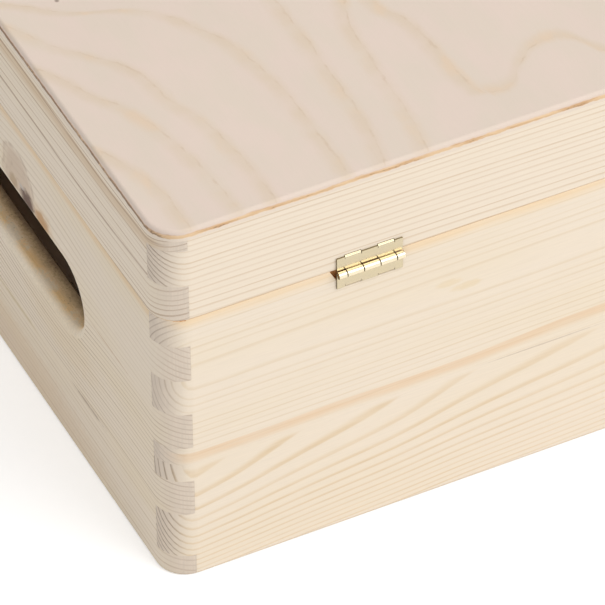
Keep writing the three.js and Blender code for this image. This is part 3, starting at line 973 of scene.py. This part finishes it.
def pressed_leaf(first, upwards):
    """A hinge leaf in millimetres about its pin, pressed from sheet.

    It is drawn pointing up, as the back of its sheet, and gets its thickness at the end.
    First is its first knuckle, and it has every other one.
    """
    clear = BARREL + LEAF_GAP
    fold = PRONG_REACH - PRONG_BEND
    knuckles = [knuckle_ends(index) for index in range(first, KNUCKLE_SPANS + 1, 2)]
    prongs = [(middle - PRONG_WIDTH / 2, middle + PRONG_WIDTH / 2)
              for middle in (-PRONG_SPACING / 2, PRONG_SPACING / 2)]
    slots = [(low - PRONG_SLIT, high + PRONG_SLIT) for low, high in prongs]
    cuts = sorted({-HINGE_WIDTH / 2, HINGE_WIDTH / 2}.union(*knuckles, *prongs, *slots))
    rows = (clear, fold, LEAF_REACH)

    bm = bmesh.new()
    bmesh.ops.create_grid(bm, x_segments=len(cuts) - 1, y_segments=len(rows) - 1, size=1.0)
    for vert in bm.verts:
        column = round((vert.co.x + 1) / 2 * (len(cuts) - 1))
        row = round((vert.co.y + 1) / 2 * (len(rows) - 1))
        vert.co = (cuts[column], -BARREL, rows[row])
    cut_out = [
        face for face in bm.faces
        if face.calc_center_median().z > fold
        and any(low < face.calc_center_median().x < high for low, high in slots)
    ]
    bmesh.ops.delete(bm, geom=cut_out, context="FACES_ONLY")
    loose = [edge for edge in bm.edges if not edge.link_faces]
    bmesh.ops.delete(bm, geom=loose, context="EDGES")

    low_edges = [edge for edge in bm.edges if within(edge, knuckles, clear)]
    fold_edges = [edge for edge in bm.edges if within(edge, prongs, fold) and edge.is_boundary]
    neck = extruded(bm, low_edges, (0, 0, -clear))
    turned(bm, neck, (0, 0, 0), ROLL, ROLL_STEPS)
    bend_middle = (0, -BARREL - PRONG_BEND + SHEET, fold)
    bent = turned(bm, fold_edges, bend_middle, math.pi / 2, BEND_STEPS)
    tips = extruded(bm, bent, (0, PRONG_BEND - SHEET + BARREL - PRONG_TIP, 0))
    for vert in {v for edge in tips for v in edge.verts}:
        middle = math.copysign(PRONG_SPACING / 2, vert.co.x)
        vert.co.x = middle + (vert.co.x - middle) * PRONG_TAPER

    bmesh.ops.recalc_face_normals(bm, faces=bm.faces)
    flat = next(face for face in bm.faces if clear < face.calc_center_median().z < fold)
    if flat.normal.y > 0:
        bmesh.ops.reverse_faces(bm, faces=bm.faces)
    bmesh.ops.solidify(bm, geom=bm.faces, thickness=SHEET)
    edges = [e for e in bm.edges if e.is_manifold and e.calc_face_angle(0) > ROUNDED_ANGLE]
    bmesh.ops.bevel(
        bm, geom=edges, offset=SHEET_ROUNDING, offset_type="OFFSET", segments=2, profile=0.5,
        affect="EDGES", material=-1, clamp_overlap=True,
    )
    if not upwards:
        bmesh.ops.scale(bm, vec=(1, 1, -1), verts=bm.verts)
    bmesh.ops.recalc_face_normals(bm, faces=bm.faces)
    return bm


def peened_pin():
    """The hinge pin, with rounded ends."""
    bm = bmesh.new()
    bmesh.ops.create_cone(
        bm, cap_ends=True, segments=PIN_SIDES, radius1=PIN_RADIUS, radius2=PIN_RADIUS,
        depth=HINGE_WIDTH, matrix=Matrix.Rotation(math.pi / 2, 4, "Y"),
    )
    ends = [edge for edge in bm.edges if edge.calc_face_angle(0) > ROUNDED_ANGLE]
    bmesh.ops.bevel(
        bm, geom=ends, offset=PIN_ROUNDING, offset_type="OFFSET", segments=3, profile=0.5,
        affect="EDGES", material=-1, clamp_overlap=True,
    )
    bmesh.ops.recalc_face_normals(bm, faces=bm.faces)
    return bm


def place_hinge_part(name, bm, body, node, side, material):
    """Moves a hinge part from its own frame to its pin."""
    to_pin = Matrix.Translation(middle_of(f"hinge_pin_{side}")) @ Matrix.Scale(MM, 4)
    bmesh.ops.transform(bm, matrix=to_pin, verts=bm.verts)
    add_piece(name, bm, body, node, [material])


def hinges():
    """Both hinges, each a lid leaf, a box leaf and a pin."""
    brass = brass_plate()
    pin_in_shade = shaded_pin()
    for side in ("left", "right"):
        parts = (
            (f"pressed_lid_leaf_{side}", pressed_leaf(1, True), "lid", f"hinge_lid_leaf_{side}"),
            (f"pressed_box_leaf_{side}", pressed_leaf(0, False), "box", f"hinge_box_leaf_{side}"),
            (f"peened_pin_{side}", peened_pin(), "box", f"hinge_pin_{side}"),
        )
        for name, bm, body, node in parts:
            material = pin_in_shade if node.startswith("hinge_pin") else brass
            place_hinge_part(name, bm, body, node, side, material)


# ---------------------------------------------------------------- camera, floor and light


def camera():
    """A long lens from behind the rear right corner."""
    data = bpy.data.cameras.new("camera")
    data.lens = CAMERA_LENS
    data.sensor_width = SENSOR
    data.clip_start = NEAREST_SEEN
    data.clip_end = FARTHEST_SEEN
    made = bpy.data.objects.new("camera", data)
    azimuth = math.radians(CAMERA_AZIMUTH)
    elevation = math.radians(CAMERA_ELEVATION)
    back = Vector((
        math.sin(azimuth) * math.cos(elevation),
        -math.cos(azimuth) * math.cos(elevation),
        math.sin(elevation),
    ))
    roll = Quaternion((0, 0, 1), math.radians(CAMERA_ROLL))
    made.rotation_mode = "QUATERNION"
    made.rotation_quaternion = (-back).to_track_quat("-Z", "Y") @ roll
    made.location = CAMERA_PLACE
    bpy.context.scene.collection.objects.link(made)
    bpy.context.scene.camera = made


def seen_directly(nodes, links):
    """One for rays from the camera, or by way of metal or glass, and zero for the rest."""
    path = nodes.new("ShaderNodeLightPath")
    glossy = nodes.new("ShaderNodeMath")
    glossy.operation = "MAXIMUM"
    links.new(path.outputs["Is Camera Ray"], glossy.inputs[0])
    links.new(path.outputs["Is Glossy Ray"], glossy.inputs[1])
    clear = nodes.new("ShaderNodeMath")
    clear.operation = "MAXIMUM"
    links.new(glossy.outputs[0], clear.inputs[0])
    links.new(path.outputs["Is Transmission Ray"], clear.inputs[1])
    return clear.outputs[0]


def floor():
    """A white floor that keeps the shadow of the box."""
    graph = Graph("white_floor")
    diffuse = graph.node("ShaderNodeBsdfDiffuse")
    glow = graph.node("ShaderNodeEmission")
    direct = Field(graph, seen_directly(graph.tree.nodes, graph.tree.links))
    lightness = direct * (FLOOR_SEEN - FLOOR_LIGHTNESS) + FLOOR_LIGHTNESS
    graph.feed(diffuse.inputs["Color"], graph.vector(lightness, lightness, lightness))
    graph.feed(glow.inputs["Strength"], direct * FLOOR_GLOW)
    both = graph.node("ShaderNodeAddShader")
    graph.feed(both.inputs[0], diffuse.outputs[0])
    graph.feed(both.inputs[1], glow.outputs[0])
    output = graph.node("ShaderNodeOutputMaterial")
    graph.feed(output.inputs["Surface"], both.outputs[0])

    bm = bmesh.new()
    bmesh.ops.create_grid(bm, x_segments=1, y_segments=1, size=FLOOR_SIZE / 2)
    mesh = bpy.data.meshes.new("floor")
    bm.to_mesh(mesh)
    bm.free()
    mesh.materials.append(graph.material)
    made = bpy.data.objects.new("floor", mesh)
    bpy.context.scene.collection.objects.link(made)


def sky():
    """Even light from all round, which shows as white."""
    world = bpy.data.worlds.new("studio")
    world.use_nodes = True
    nodes, links = world.node_tree.nodes, world.node_tree.links
    background = nodes["Background"]
    background.inputs["Color"].default_value = WHITE
    strength = nodes.new("ShaderNodeMix")
    links.new(seen_directly(nodes, links), strength.inputs[0])
    strength.inputs[2].default_value = SKY_LIGHT
    strength.inputs[3].default_value = 1.0
    links.new(strength.outputs[0], background.inputs["Strength"])
    bpy.context.scene.world = world


def key_light():
    """A large soft lamp above and behind the box, to the camera's right."""
    data = bpy.data.lights.new("key", "AREA")
    data.shape = "DISK"
    data.size = KEY_SIZE
    data.energy = KEY_POWER
    made = bpy.data.objects.new("key", data)
    direction = Vector(KEY_DIRECTION).normalized()
    made.location = direction * KEY_DISTANCE
    made.rotation_mode = "QUATERNION"
    made.rotation_quaternion = (-direction).to_track_quat("-Z", "Y")
    made.visible_camera = False
    bpy.context.scene.collection.objects.link(made)


bpy.context.scene.view_settings.view_transform = "Standard"
camera()
floor()
sky()
key_light()
wood = wood_surface()
sanded_boards(wood)
plywood_sheets(wood)
hinges()
